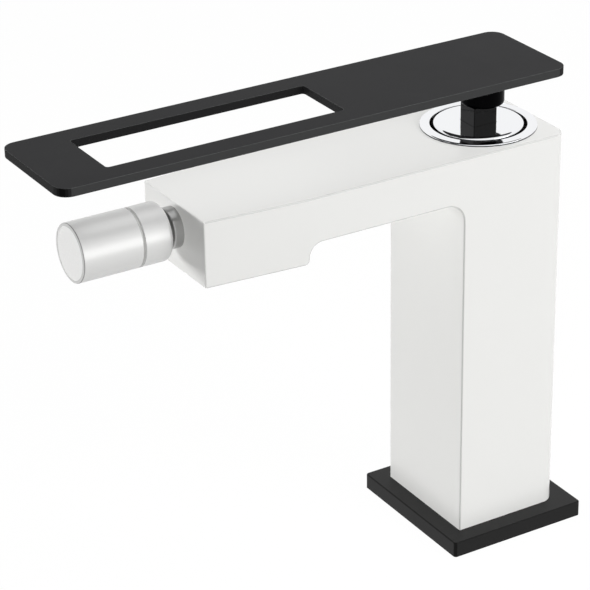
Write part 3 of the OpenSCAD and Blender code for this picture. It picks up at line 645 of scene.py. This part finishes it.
@dataclass
class Casting:
    """White cast body: column, flat arm and thicker tip, with its three round openings."""

    half_w: float = 23.6
    rear_y: float = 21.8
    foot_z: float = 6.0
    top_z: float = 155.0
    arm_z: float = 138.4
    tip_z: float = 131.0
    tip_start: float = 84.6
    reach: float = 123.4
    tip_half_w: float = 20.65
    arm_fillet: float = 7.2
    step_fillet: float = 5.0
    step_edge: float = 2.0
    rear_round: float = 5.5
    edge_round: float = 0.5
    ring_seat: tuple[Point, ...] = ((19.8, 0.0), (19.8, 2.6), (19.0, 2.6), (19.0, 12.2))
    hose_well: tuple[Point, ...] = ((18.9, 0.0), (18.9, 50.0))
    stem_bore: tuple[Point, ...] = ((6.0, 0.0), (6.0, 14.0))

    def outline(self, shell: Shell) -> bmesh.types.BMFace:
        """Draws the outline at one side of the body and rounds its inner corners.

        Args:
            shell: Shell that takes the outline.

        Returns:
            The outline's face.
        """
        places = [
            (self.rear_y, self.foot_z, 0.0), (self.rear_y, self.top_z, 0.0),
            (-self.reach, self.top_z, 0.0), (-self.reach, self.tip_z, 0.0),
            (-self.tip_start, self.tip_z, self.step_edge),
            (-self.tip_start, self.arm_z, self.step_fillet),
            (-self.rear_y, self.arm_z, self.arm_fillet), (-self.rear_y, self.foot_z, 0.0),
        ]
        verts = [shell.bm.verts.new(mm(-self.half_w, y, z)) for y, z, _ in places]
        shell.bm.faces.new(verts)
        for vert, (_, _, radius) in zip(verts, places):
            if radius:
                shell.round_corners([vert], radius, FILLET_STEPS)
        shell.bm.faces.ensure_lookup_table()
        return shell.bm.faces[0]

    def build(self) -> bpy.types.Object:
        """Models the casting and dresses it.

        Returns:
            The piece.
        """
        shell = Shell()
        bm = shell.bm
        made = bmesh.ops.extrude_face_region(bm, geom=[self.outline(shell)])["geom"]
        moved = [g for g in made if isinstance(g, bmesh.types.BMVert)]
        bmesh.ops.translate(bm, verts=moved, vec=mm(2 * self.half_w, 0, 0))
        shell.tidy()
        upright = [
            e for e in bm.edges
            if all(abs(v.co.y / MM - self.rear_y) < SAME_PLACE_MM for v in e.verts)
            and abs(e.verts[0].co.z - e.verts[1].co.z) > TALL_MM * MM
        ]
        shell.soften(upright, self.rear_round, FILLET_STEPS)
        foot = self.foot_z + SAME_PLACE_MM
        rims = [e for e in shell.sharp() if max(v.co.z / MM for v in e.verts) > foot]
        # The rounded rims take the painted grey line of shade
        shell.soften(rims, self.edge_round, EDGE_STEPS, shell.edge_layer)
        # No painted line of shade runs round the tip face
        for face in bm.faces:
            if face.calc_center_median().y < -(self.reach - self.edge_round) * MM:
                face[shell.edge_layer] = 0.0
        bmesh.ops.bisect_plane(
            bm, geom=bm.verts[:] + bm.edges[:] + bm.faces[:], dist=MERGE_M,
            plane_co=mm(0, -self.tip_start, 0), plane_no=(0, 1, 0),
        )
        # The body narrows from the tip block's start to its face
        slope = (self.half_w - self.tip_half_w) / (self.reach - self.tip_start)
        for vert in bm.verts:
            beyond = max(-vert.co.y / MM - self.tip_start, 0.0)
            vert.co.x *= (self.half_w - slope * beyond) / self.half_w
        top, low, tip = self.top_z, self.foot_z, -self.reach
        shell.bore(lambda p: abs(p.z - top) < SAME_PLACE_MM, UP, list(self.ring_seat))
        shell.bore(lambda p: abs(p.z - low) < SAME_PLACE_MM, -UP, list(self.hose_well))
        shell.bore(lambda p: abs(p.y - tip) < SAME_PLACE_MM, OUTWARD, list(self.stem_bore))
        return shell.piece("casting", WHITE_ENAMEL, "housing", "white_enamel", ["body"])


@dataclass
class FootPlate:
    """Black foot plate with hose passage, locating collar and seal channel."""

    width: float = 61.0
    depth: float = 57.0
    height: float = 6.0
    corner: float = 1.2
    passage_r: float = 17.0
    collar_r: float = 18.8
    collar_z: float = 8.5
    rim: float = 2.0
    channel: float = 1.5
    edge_round: float = 0.45
    side_shade: float = 0.5

    def build(self) -> bpy.types.Object:
        """Models the plate and dresses it.

        Returns:
            The piece.
        """
        shell = Shell()
        inner_w, inner_d = self.width - 2 * self.rim, self.depth - 2 * self.rim
        loops = [
            shell.rectangle(self.width, self.depth, 0.0, self.corner),
            shell.rectangle(inner_w, inner_d, 0.0, self.corner),
            shell.rectangle(inner_w, inner_d, self.channel, self.corner),
            shell.circle(self.passage_r + self.rim, on_axis(self.channel)),
            shell.circle(self.passage_r + self.rim, Vector()),
            shell.circle(self.passage_r, Vector()),
            shell.circle(self.passage_r, on_axis(self.collar_z)),
            shell.circle(self.collar_r, on_axis(self.collar_z)),
            shell.circle(self.collar_r, on_axis(self.height)),
            *self.rim_loops(shell),
        ]
        shell.skin(loops)
        shell.tidy()
        # Painted shade by face: near black round the corners, half strength on the upright sides,
        # and a painted dark line on the rounded upper rim
        for face in shell.bm.faces:
            turned = min(abs(face.normal.x), abs(face.normal.y)) > TURNED_FROM
            if turned and abs(face.calc_center_median().x) / MM > self.width / 2 - self.corner:
                face[shell.shade_layer] = 1.0
            elif abs(face.normal.z) < UPRIGHT:
                face[shell.shade_layer] = self.side_shade
            elif UPRIGHT < face.normal.z < LEVEL:
                face[shell.edge_layer] = 1.0
        return shell.piece("foot_plate", PLATE_COAT, "housing", "black_satin", ["base_plate"])

    def rim_loops(self, shell: Shell) -> list[Edges]:
        """Adds the loops of the rounded upper rim.

        Args:
            shell: Shell that takes the loops.

        Returns:
            The loops from the top face out and down to the side.
        """
        loops = []
        for step in range(RIM_STEPS, -1, -1):
            turn = math.pi / 2 * step / RIM_STEPS
            inset = self.edge_round * (1 - math.cos(turn))
            z = self.height - self.edge_round * (1 - math.sin(turn))
            width, depth = self.width - 2 * inset, self.depth - 2 * inset
            loops.append(shell.rectangle(width, depth, z, self.corner - inset))
        return loops


@dataclass
class LeverPlate:
    """Flat stamped lever with its long slot."""

    width: float = 44.4
    front_y: float = -174.8
    rear_y: float = 22.6
    low_z: float = 176.2
    high_z: float = 179.2
    corner: float = 5.0
    slot_w: float = 26.6
    slot_front_y: float = -153.8
    slot_rear_y: float = -64.2
    slot_corner: float = 1.2
    edge_round: float = 0.4
    side_highlight: float = 0.36
    slot_shade: float = 0.45
    end_shade: float = 0.5
    slot_margin: float = 0.1

    def build(self) -> bpy.types.Object:
        """Models the plate and dresses it.

        Returns:
            The piece.
        """
        shell = Shell()
        mid, length = (self.front_y + self.rear_y) / 2, self.rear_y - self.front_y
        slot_mid = (self.slot_front_y + self.slot_rear_y) / 2
        slot_len = self.slot_rear_y - self.slot_front_y
        outer = [
            shell.rectangle(self.width, length, z, self.corner, mid)
            for z in (self.low_z, self.high_z)
        ]
        inner = [
            shell.rectangle(self.slot_w, slot_len, z, self.slot_corner, slot_mid)
            for z in (self.high_z, self.low_z)
        ]
        shell.skin([*outer, *inner])
        shell.tidy()
        # Painted shade and highlight by face: dark reflection painted round the corners, painted
        # shade on the slot's side walls and the ends, a painted highlight on the long sides
        for face in shell.bm.faces:
            middle = face.calc_center_median() / MM
            if abs(face.normal.z) > UPRIGHT:
                continue
            turned = min(abs(face.normal.x), abs(face.normal.y))
            in_slot = (
                abs(middle.x) < self.slot_w / 2 + self.slot_margin
                and abs(middle.y - slot_mid) < slot_len / 2 + self.slot_margin
            )
            if in_slot:
                end_wall = abs(face.normal.y) > STRAIGHT_OUT
                face[shell.shade_layer] = 0.0 if end_wall else self.slot_shade
            elif turned > TURNED_FROM:
                face[shell.shade_layer] = min((turned - TURNED_FROM) / TURNED_SPAN, 1.0)
            elif abs(face.normal.x) > STRAIGHT_OUT:
                face[shell.edge_layer] = self.side_highlight
            else:
                face[shell.shade_layer] = self.end_shade
        # The rounded edges take a painted highlight
        shell.soften(shell.sharp(CUT_DEG), self.edge_round, EDGE_STEPS, shell.edge_layer)
        return shell.piece("lever_blade", LEVER_COAT, "lever", "lever_black", ["lever_plate"])


@dataclass
class Neck:
    """Trim round the lever's spindle: ring, cover disc and square sleeve."""

    top_z: float = 155.0
    ring_r: float = 21.0
    ring_bore_r: float = 17.35
    ring_t: float = 0.75
    ring_round: float = 0.5
    ring_bore_round: float = 0.25
    shadow_band: float = 0.2
    spigot_r: float = 19.7
    spigot_h: float = 2.5
    disc_r: float = 16.2
    disc_z: float = 156.4
    disc_t: float = 1.5
    disc_wall: float = 1.2
    disc_h: float = 5.3
    disc_rim: float = 1.1
    hole: tuple[float, float] = (9.0, 9.9)
    sleeve: tuple[float, float] = (8.8, 9.7)
    sleeve_foot: tuple[float, float] = (10.0, 10.5)
    sleeve_foot_t: float = 0.6
    sleeve_corner: float = 0.35
    sleeve_bore: float = 7.2
    sleeve_top_z: float = 163.1

    def ring(self) -> bpy.types.Object:
        """Turns the trim ring.

        Returns:
            The piece.
        """
        low = -self.spigot_h
        profile = [
            (self.ring_bore_r, low, 0.0), (self.spigot_r, low, 0.0), (self.spigot_r, 0.0, 0.0),
            (self.ring_r, 0.0, 0.0), (self.ring_r, self.ring_t, self.ring_round),
            (self.ring_bore_r, self.ring_t, self.ring_bore_round),
        ]
        shell = Turned(profile, on_axis(self.top_z), UP)
        # A painted shadow on the lower half of the outer wall, where the ring seats on the enamel
        for face in shell.bm.faces:
            middle = face.calc_center_median() / MM
            outside = middle.xy.length > self.ring_r - self.shadow_band
            if outside and self.top_z < middle.z < self.top_z + self.ring_t / 2:
                face[shell.shade_layer] = 1.0
        return shell.piece("bezel_ring", CHROME, "housing", "chrome", ["trim_ring"])

    def disc(self) -> bpy.types.Object:
        """Models the cover disc with its square hole and skirt.

        Returns:
            The piece.
        """
        shell = Shell()
        low, under = self.disc_z - self.disc_h, self.disc_z - self.disc_t
        inner = self.disc_r - self.disc_wall
        shell.skin([
            shell.rectangle(*self.hole, self.disc_z),
            shell.circle(self.disc_r, on_axis(self.disc_z)),
            shell.circle(self.disc_r, on_axis(low)),
            shell.circle(inner, on_axis(low)),
            shell.circle(inner, on_axis(under)),
            shell.rectangle(*self.hole, under),
        ])
        shell.tidy()
        rim = [
            e for e in shell.sharp()
            if all(
                abs(v.co.z / MM - self.disc_z) < SAME_PLACE_MM and v.co.xy.length / MM > inner
                for v in e.verts
            )
        ]
        # At full lift a rim of 0.9 mm would cut the retaining nut
        shell.soften(rim, self.disc_rim, TURNED_STEPS)
        return shell.piece("cover_cap", CHROME, "lever", "chrome", ["cover_disc"])

    def post(self) -> bpy.types.Object:
        """Models the square sleeve over the spindle.

        Returns:
            The piece.
        """
        shell = Shell()
        under = self.disc_z - self.disc_t
        foot_z = under - self.sleeve_foot_t
        bore = (self.sleeve_bore, self.sleeve_bore)
        sections = (
            (self.sleeve_foot, foot_z), (self.sleeve_foot, under), (self.sleeve, under),
            (self.sleeve, self.sleeve_top_z), (bore, self.sleeve_top_z), (bore, foot_z),
        )
        shell.skin([shell.rectangle(*size, z, self.sleeve_corner) for size, z in sections])
        return shell.piece(
            "square_post", BLACK_LACQUER, "lever", "black_gloss", ["spindle_sleeve"]
        )

    def build(self) -> None:
        """Models and dresses the three pieces."""
        self.ring()
        self.disc()
        self.post()


@dataclass
class Outlet:
    """Turned parts of the swivel aerator, placed by their distance from the arm's face."""

    face_y: float = -123.4
    axis_z: float = 145.8
    outer_r: float = 10.3
    collar_start: float = 5.4
    collar_end: float = 15.95
    collar_round: float = 1.6
    collar_mouth_r: float = 7.0
    collar_mouth_round: float = 0.3
    collar_seat_start: float = 13.0
    thread_gap: float = 0.1
    lip_r: float = 5.84
    lip_back: float = 4.0
    lip_slope_r: float = 6.6
    lip_slope_len: float = 1.5
    seat_r: float = 7.08
    ball_out: float = 12.6
    thread_r: float = 9.2
    sleeve_start: float = 16.65
    sleeve_end: float = 38.9
    spigot_start: float = 13.2
    sleeve_wall: float = 1.1
    face_r: float = 9.18
    face_start: float = 32.7
    face_end: float = 38.82
    face_t: float = 1.6
    groove_round: float = 0.2
    seat_bore_r: float = 8.2
    spigot_end: float = 20.0
    throat_r: float = 6.4
    throat_end: float = 21.6
    mouth_round: float = 0.45
    stem_bore_r: float = 2.6
    stem_len: float = 13.0
    stem_r: float = 5.9
    seal_t: float = 1.0
    seal_w: float = 1.0
    flange_r: float = STEM_FLANGE_R
    flange_t: float = 3.5
    flange_round: float = 0.5
    neck_r: float = 3.7
    ball_r: float = 7.0
    ball_cut: float = 5.6
    groove_out: float = 2.5
    groove_w: float = 1.7
    groove_depth: float = 1.55
    hole_r: float = 0.25
    hole_depth: float = 0.05
    hole_rings: int = 4
    hole_pitch: float = 1.85

    def centre(self, out: float) -> Vector:
        """Returns the point of the spout axis at a distance from the arm's face."""
        return Vector((0.0, self.face_y - out, self.axis_z))

    def collar(self) -> bpy.types.Object:
        """Turns the swivel collar round the ball.

        Returns:
            The piece.
        """
        lip_out = self.ball_out - self.lip_back
        thread_r, seat_start = self.thread_r + self.thread_gap, self.collar_seat_start
        profile = [
            (self.collar_mouth_r, self.collar_start, self.collar_mouth_round),
            (self.outer_r, self.collar_start, self.collar_round),
            (self.outer_r, self.collar_end, self.groove_round),
            (thread_r, self.collar_end, 0.0), (thread_r, seat_start, 0.0),
            (self.seat_r, seat_start, 0.0), (self.seat_r, self.ball_out, 0.0),
            (self.lip_slope_r, lip_out + self.lip_slope_len, 0.0), (self.lip_r, lip_out, 0.0),
        ]
        shell = Turned(profile, self.centre(0.0), OUTWARD)
        return shell.piece(
            "swivel_collar", SATIN_NICKEL, "spray_head", "satin_metal", ["swivel_socket"]
        )

    def stem(self) -> bpy.types.Object:
        """Turns the ball stem: thread, flange with its seal recess, neck and grooved ball.

        Returns:
            The piece.
        """
        profile = [
            (self.stem_bore_r, -self.stem_len, 0.0), (self.stem_r, -self.stem_len, 0.0),
            (self.stem_r, self.seal_t, 0.0), (self.stem_r + self.seal_w, self.seal_t, 0.0),
            (self.stem_r + self.seal_w, 0.0, 0.0), (self.flange_r, 0.0, 0.0),
            (self.flange_r, self.flange_t, self.flange_round), (self.neck_r, self.flange_t, 0.0),
        ]
        low = math.asin(self.neck_r / self.ball_r)
        high = math.asin(self.groove_out / self.ball_r) + math.pi / 2
        half = self.groove_w / 2 / self.ball_r
        end = math.acos(-self.ball_cut / self.ball_r)
        for first, last in ((low, high - half), (high + half, end)):
            for i in range(BALL_STEPS + 1):
                turn = first + (last - first) * i / BALL_STEPS
                out = self.ball_out - self.ball_r * math.cos(turn)
                profile.append((self.ball_r * math.sin(turn), out, 0.0))
            if last < end:
                depth = self.ball_r - self.groove_depth
                for turn in (high - half, high + half):
                    out = self.ball_out - self.ball_r * math.cos(turn)
                    profile.append((depth * math.sin(high), out, 0.0))
        profile.append((self.stem_bore_r, self.ball_out + self.ball_cut, 0.0))
        shell = Turned(profile, self.centre(0.0), OUTWARD)
        return shell.piece("stem", BRIGHT_NICKEL, "housing", "satin_metal", ["ball_stem"])

    def sleeve(self) -> bpy.types.Object:
        """Turns the front sleeve with its threaded spigot.

        Returns:
            The piece.
        """
        profile = [
            (self.seat_bore_r, self.spigot_start, 0.0), (self.thread_r, self.spigot_start, 0.0),
            (self.thread_r, self.sleeve_start, 0.0),
            (self.outer_r, self.sleeve_start, self.groove_round),
            (self.outer_r, self.sleeve_end, self.mouth_round),
            (self.outer_r - self.sleeve_wall, self.sleeve_end, 0.0),
            (self.outer_r - self.sleeve_wall, self.throat_end, 0.0),
            (self.throat_r, self.throat_end, 0.0), (self.throat_r, self.spigot_end, 0.0),
            (self.seat_bore_r, self.spigot_end, 0.0),
        ]
        shell = Turned(profile, self.centre(0.0), OUTWARD)
        return shell.piece(
            "front_sleeve", SATIN_NICKEL, "spray_head", "satin_metal", ["aerator_sleeve"]
        )

    def outlet_face(self) -> bpy.types.Object:
        """Models the outlet face as a cup with rings of fine dimples.

        Returns:
            The piece.
        """
        shell = Shell()
        inner = self.face_r - self.sleeve_wall
        back = self.face_end - self.face_t
        rim = shell.circle(self.face_r, self.centre(self.face_end), OUTWARD)
        wall = shell.circle(self.face_r, self.centre(self.face_start), OUTWARD)
        lip = shell.circle(inner, self.centre(self.face_start), OUTWARD)
        floor = shell.circle(inner, self.centre(back), OUTWARD)
        shell.skin([rim, wall, lip, floor], closed=False)
        bmesh.ops.contextual_create(shell.bm, geom=floor)
        mouths: Edges = []
        for ring in range(self.hole_rings + 1):
            for i in range(max(6 * ring, 1)):
                angle = 2 * math.pi * i / max(6 * ring, 1)
                out = ring * self.hole_pitch
                place = self.centre(self.face_end)
                place += Vector((out * math.cos(angle), 0.0, out * math.sin(angle)))
                below = place - OUTWARD * self.hole_depth
                mouth = shell.circle(self.hole_r, place, OUTWARD, HOLE_STEPS)
                foot = shell.circle(self.hole_r, below, OUTWARD, HOLE_STEPS)
                bmesh.ops.bridge_loops(shell.bm, edges=mouth + foot)
                bmesh.ops.contextual_create(shell.bm, geom=foot)
                mouths += mouth
        bmesh.ops.triangle_fill(
            shell.bm, edges=rim + mouths, use_beauty=True, use_dissolve=False, normal=OUTWARD
        )
        return shell.piece(
            "outlet_face", OUTLET_POLYMER, "spray_head", "plastic", ["aerator_grid"]
        )

    def build(self) -> None:
        """Models and dresses the pieces."""
        self.stem()
        self.collar()
        self.sleeve()
        self.outlet_face()


SOLID_LOOKS: dict[str, Finish] = {
    "base_gasket": RUBBER, "cartridge_base": ACETAL, "port_seals": RUBBER,
    "cartridge_housing": ACETAL, "fixed_disc": ALUMINA, "moving_disc": ALUMINA,
    "disc_carrier": ACETAL_GREY, "spindle_guide": ACETAL, "spindle_pin": STEEL,
    "spindle": BRASS, "retaining_nut": BRASS_SHADED, "lever_boss": DEEP_LACQUER,
    "lever_grub_screw": STEEL, "ball_stem": BRIGHT_NICKEL, "stem_seal": RUBBER,
    "ball_o_ring": RUBBER, "ball_seat": ACETAL, "aerator_washer": RUBBER,
    "aerator_cage": ACETAL, "aerator_sleeve": SATIN_NICKEL, "aerator_grid": OUTLET_POLYMER,
    "swivel_socket": SATIN_NICKEL,
    "body": WHITE_ENAMEL, "base_plate": PLATE_COAT, "lever_plate": LEVER_COAT,
    "trim_ring": CHROME, "cover_disc": CHROME, "spindle_sleeve": BLACK_LACQUER,
}


def dress_solids() -> None:
    """Gives every solid of the frame its finish."""
    for name, look in SOLID_LOOKS.items():
        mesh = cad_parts[name].data
        mesh.materials.clear()
        mesh.materials.append(look.build())
        LOG.info("%s: %s", name, look.name)


@dataclass
class Lamp:
    """Square softbox that points at the middle of the object.

    Attributes:
        name: Name of the lamp.
        place: Where it stands, in metres.
        size: Side in metres. Lamps that light without shadow are small: a large one
            leaves the arm under the lever dark.
        watts: Power.
        casts: Whether it casts shadows.
        gleams: Whether it shows in reflections.
        lights: Whether it lights matt surfaces.
    """

    name: str
    place: tuple[float, float, float]
    size: float
    watts: float
    casts: bool = True
    gleams: bool = True
    lights: bool = True

    def build(self) -> None:
        """Adds the lamp and aims it."""
        lamp = bpy.data.lights.new(self.name, "AREA")
        lamp.size = self.size
        lamp.energy = self.watts
        lamp.use_shadow = self.casts
        box = bpy.data.objects.new(self.name, lamp)
        box.location = self.place
        box.visible_glossy = self.gleams
        box.visible_diffuse = self.lights
        aim = AIM - Vector(self.place)
        box.rotation_euler = aim.to_track_quat("-Z", "Y").to_euler()
        bpy.context.scene.collection.objects.link(box)


@dataclass
class Studio:
    """Camera, lamps, floor and background.

    Attributes:
        focal_px: Focal length of the fitted camera in pixels of the photograph.
        frame_px: Width of the photograph in pixels.
        sensor_mm: Width of the sensor.
        azimuth: Degrees of the camera round from the front.
        elevation: Degrees it looks down.
        roll: Degrees it tilts.
        place_mm: Where it stands.
        ambient: Grey of the world that lights the object.
        floor_glow: Share of plain light in the floor that the camera sees.
        glow_level: Strength of that light.
        floor_paint: Colour of the floor that takes the shadow.
        floor_half_m: Half the floor's width, in metres.
        floor_drop_m: How far the floor lies under the object, in metres.
        lamps: The lamps.
    """

    focal_px: float = 2508.8
    frame_px: float = 590.0
    sensor_mm: float = 36.0
    azimuth: float = 59.304
    elevation: float = 26.113
    roll: float = -0.973
    place_mm: tuple[float, float, float] = (676.57, -478.54, 493.62)
    ambient: float = 0.12
    floor_glow: float = 0.9
    glow_level: float = 1.07
    floor_paint: str = "#AAAAA9"
    floor_half_m: float = 6.0
    floor_drop_m: float = 0.0001
    lamps: tuple[Lamp, ...] = (
        Lamp("side_softbox", (1.45, 0.65, 0.4), 1.2, 24.2, gleams=False),
        Lamp("under_fill", (0.5, -1.2, -0.9), 0.3, 6.0, casts=False, gleams=False),
        Lamp("side_strip", (1.5, 0.7, -0.05), 1.3, 11.8, casts=False, lights=False),
        Lamp("front_softbox", (-1.3, -1.3, 0.14), 0.5, 24.0, gleams=False),
        Lamp("top_fill", (0.0, 0.1, 1.2), 0.3, 7.4, casts=False, gleams=False),
        Lamp("back_fill", (-1.1, 1.3, 0.12), 0.3, 14.0, casts=False, gleams=False),
    )

    def camera(self) -> None:
        """Adds the camera at the photograph's viewpoint."""
        az, el, roll = (math.radians(a) for a in (self.azimuth, self.elevation, self.roll))
        back = Vector((math.sin(az) * math.cos(el), -math.cos(az) * math.cos(el), math.sin(el)))
        right = Vector((math.cos(az), math.sin(az), 0.0))
        up = back.cross(right)
        level_right = right * math.cos(roll) + up * math.sin(roll)
        level_up = up * math.cos(roll) - right * math.sin(roll)
        lens = bpy.data.cameras.new("camera")
        lens.sensor_width = self.sensor_mm
        lens.lens = self.focal_px / self.frame_px * self.sensor_mm
        camera = bpy.data.objects.new("camera", lens)
        turn = Matrix((level_right, level_up, back)).transposed().to_4x4()
        camera.matrix_world = Matrix.Translation(mm(*self.place_mm)) @ turn
        bpy.context.scene.collection.objects.link(camera)
        bpy.context.scene.camera = camera

    @staticmethod
    def seen(tree: bpy.types.NodeTree) -> bpy.types.NodeSocket:
        """Adds the light path test for what the camera, mirrors and glass see.

        Args:
            tree: Node tree that takes the test.

        Returns:
            The socket that is 1 for these rays.
        """
        path = add_node(tree, "ShaderNodeLightPath").outputs
        either = path["Is Camera Ray"]
        for ray in ("Is Glossy Ray", "Is Transmission Ray"):
            either = add_node(
                tree, "ShaderNodeMath", {"operation": "MAXIMUM"}, {0: either, 1: path[ray]}
            ).outputs[0]
        return either

    def world(self) -> None:
        """Sets a soft even world that shows as white."""
        world = bpy.data.worlds.new("studio")
        bpy.context.scene.world = world
        world.use_nodes = True
        tree = world.node_tree
        tree.nodes.clear()
        grey = (self.ambient, self.ambient, self.ambient, 1.0)
        colour = mix_colours(tree, self.seen(tree), grey, WHITE)
        back = add_node(tree, "ShaderNodeBackground", inputs={"Color": colour, "Strength": 1.0})
        add_node(tree, "ShaderNodeOutputWorld", inputs={"Surface": back.outputs[0]})

    def floor(self) -> None:
        """Adds a wide pale floor that shows near white and keeps a soft shadow."""
        bm = bmesh.new()
        bmesh.ops.create_grid(bm, x_segments=1, y_segments=1, size=self.floor_half_m)
        mesh = bpy.data.meshes.new("floor")
        bm.to_mesh(mesh)
        bm.free()
        floor = bpy.data.objects.new("floor", mesh)
        floor.location = (0.0, 0.0, -self.floor_drop_m)
        bpy.context.scene.collection.objects.link(floor)
        material = bpy.data.materials.new("studio_floor")
        material.use_nodes = True
        tree = material.node_tree
        tree.nodes.clear()
        inputs = {0: self.seen(tree), 1: self.floor_glow}
        share = add_node(tree, "ShaderNodeMath", {"operation": "MULTIPLY"}, inputs).outputs[0]
        paint = add_node(tree, "ShaderNodeBsdfDiffuse", inputs={"Color": linear(self.floor_paint)})
        glow = add_node(tree, "ShaderNodeEmission", inputs={"Strength": self.glow_level})
        mix = add_node(
            tree, "ShaderNodeMixShader", inputs={0: share, 1: paint.outputs[0], 2: glow.outputs[0]}
        )
        add_node(tree, "ShaderNodeOutputMaterial", inputs={"Surface": mix.outputs[0]})
        mesh.materials.append(material)

    def build(self) -> None:
        """Sets up the whole view."""
        self.camera()
        self.world()
        self.floor()
        for lamp in self.lamps:
            lamp.build()
        bpy.context.scene.view_settings.view_transform = "Standard"


def main() -> None:
    """Builds the view and the pieces in order."""
    logging.basicConfig(level=logging.INFO, format="%(name)s %(message)s")
    Studio().build()
    dress_solids()
    Casting().build()
    FootPlate().build()
    LeverPlate().build()
    Neck().build()
    Outlet().build()


if __name__ == "__main__":
    main()
